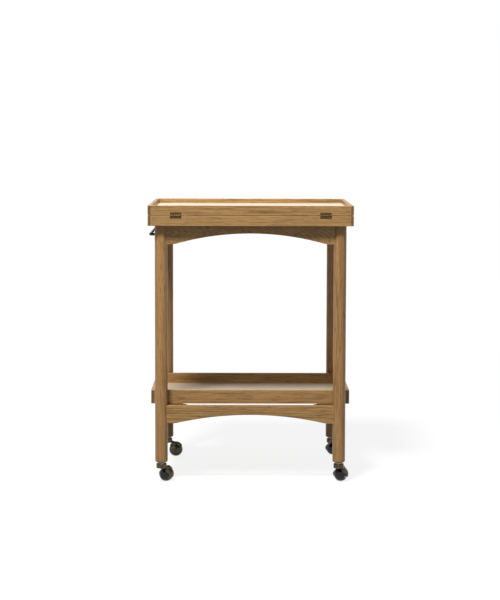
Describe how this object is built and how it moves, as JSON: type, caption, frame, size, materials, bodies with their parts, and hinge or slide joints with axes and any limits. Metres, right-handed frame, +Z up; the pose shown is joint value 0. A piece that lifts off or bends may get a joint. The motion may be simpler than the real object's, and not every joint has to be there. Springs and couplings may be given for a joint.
{
  "type": "room service table",
  "caption": "Small wooden service table on ball casters: folding tray leaf on top, lower tray, arched rails and a bent rod push handle at one end.",
  "frame": {"origin": "on the floor, under the middle of the two leaves", "axes": "+X to the right as one stands in front of the hinges, with the push handle at the -X end; +Y to the back; +Z up"},
  "size_m": [0.53, 0.4119, 0.7285],
  "materials": {
    "leg_wood": "satin lacquered light brown hardwood, grain along the leg",
    "rail_wood": "satin lacquered light brown hardwood",
    "rim_wood": "satin lacquered light brown hardwood, worn lighter on the arrises",
    "block_wood": "plain sawn hardwood",
    "dowel_wood": "unfinished beech",
    "board_wood": "veneered board, satin lacquer",
    "pale_laminate": "pale cream laminate, soft sheen",
    "hinge_brass": "darkened brass",
    "handle_iron": "black painted iron",
    "caster_bronze": "aged bronze plating on pressed steel",
    "caster_steel": "bright zinc",
    "wheel_black": "hard black plastic, dulled on the tread",
    "screw_steel": "bright zinc",
    "felt": "thin dark felt"
  },
  "bodies": {
    "frame": {"leg_front_left": "leg_wood", "leg_front_right": "leg_wood", "leg_back_left": "leg_wood", "leg_back_right": "leg_wood", "upper_rail_front": "rail_wood", "upper_rail_back": "rail_wood", "upper_rail_left": "rail_wood", "upper_rail_right": "rail_wood", "lower_rail_front": "rail_wood", "lower_rail_back": "rail_wood", "lower_rail_left": "rail_wood", "lower_rail_right": "rail_wood", "tray_rim_front": "rim_wood", "tray_rim_back": "rim_wood", "tray_rim_left": "rim_wood", "tray_rim_right": "rim_wood", "fixed_leaf_rim_front": "rim_wood", "fixed_leaf_rim_back": "rim_wood", "fixed_leaf_rim_left": "rim_wood", "fixed_leaf_rim_right": "rim_wood", "rail_dowels": "dowel_wood", "corner_blocks_upper": "block_wood", "corner_blocks_lower": "block_wood", "leaf_fixing_screws": "screw_steel", "tray_fixing_screws": "screw_steel", "tray_board": "board_wood", "tray_laminate": "pale_laminate", "fixed_leaf_board": "board_wood", "leaf_buffers": "felt", "hinge_plates_fixed": "hinge_brass", "hinge_pins": "hinge_brass", "hinge_screws_fixed": "hinge_brass", "handle_rod": "handle_iron", "handle_rosettes": "handle_iron", "handle_nuts": "handle_iron", "stem_sockets": "caster_steel"},
    "top_leaf": {"top_leaf_rim_front": "rim_wood", "top_leaf_rim_back": "rim_wood", "top_leaf_rim_left": "rim_wood", "top_leaf_rim_right": "rim_wood", "top_leaf_board": "board_wood", "top_leaf_laminate": "pale_laminate", "hinge_plates_moving": "hinge_brass", "hinge_screws_moving": "hinge_brass"},
    "caster_swivel_front_left": {"caster_hood_front_left": "caster_bronze", "caster_stem_front_left": "caster_steel", "caster_axle_front_left": "caster_steel"},
    "caster_wheel_front_left": {"caster_wheel_front_left": "wheel_black"},
    "caster_swivel_front_right": {"caster_hood_front_right": "caster_bronze", "caster_stem_front_right": "caster_steel", "caster_axle_front_right": "caster_steel"},
    "caster_wheel_front_right": {"caster_wheel_front_right": "wheel_black"},
    "caster_swivel_back_left": {"caster_hood_back_left": "caster_bronze", "caster_stem_back_left": "caster_steel", "caster_axle_back_left": "caster_steel"},
    "caster_wheel_back_left": {"caster_wheel_back_left": "wheel_black"},
    "caster_swivel_back_right": {"caster_hood_back_right": "caster_bronze", "caster_stem_back_right": "caster_steel", "caster_axle_back_right": "caster_steel"},
    "caster_wheel_back_right": {"caster_wheel_back_right": "wheel_black"}
  },
  "joints": [
    {"name": "leaf_hinge", "type": "hinge", "parent": "frame", "child": "top_leaf", "pos_m": [0, -0.2006, 0.703], "axis": [1, 0, 0], "range_deg": [0, 180]},
    {"name": "swivel_front_left", "type": "hinge", "parent": "frame", "child": "caster_swivel_front_left", "pos_m": [-0.232, -0.167, 0.045], "axis": [0, 0, 1], "continuous": true},
    {"name": "swivel_front_right", "type": "hinge", "parent": "frame", "child": "caster_swivel_front_right", "pos_m": [0.232, -0.167, 0.045], "axis": [0, 0, 1], "continuous": true},
    {"name": "swivel_back_left", "type": "hinge", "parent": "frame", "child": "caster_swivel_back_left", "pos_m": [-0.232, 0.167, 0.045], "axis": [0, 0, 1], "continuous": true},
    {"name": "swivel_back_right", "type": "hinge", "parent": "frame", "child": "caster_swivel_back_right", "pos_m": [0.232, 0.167, 0.045], "axis": [0, 0, 1], "continuous": true},
    {"name": "wheel_spin_front_left", "type": "hinge", "parent": "caster_swivel_front_left", "child": "caster_wheel_front_left", "pos_m": [-0.22115, -0.14616, 0.019], "axis": [-0.8869, 0.4617, 0.0175], "continuous": true},
    {"name": "wheel_spin_front_right", "type": "hinge", "parent": "caster_swivel_front_right", "child": "caster_wheel_front_right", "pos_m": [0.23867, -0.14447, 0.019], "axis": [-0.9587, 0.284, 0.0175], "continuous": true},
    {"name": "wheel_spin_back_left", "type": "hinge", "parent": "caster_swivel_back_left", "child": "caster_wheel_back_left", "pos_m": [-0.20853, 0.16823, 0.019], "axis": [-0.0523, 0.9985, 0.0175], "continuous": true},
    {"name": "wheel_spin_back_right", "type": "hinge", "parent": "caster_swivel_back_right", "child": "caster_wheel_back_right", "pos_m": [0.23648, 0.19007, 0.019], "axis": [-0.9815, 0.1908, 0.0175], "continuous": true}
  ]
}
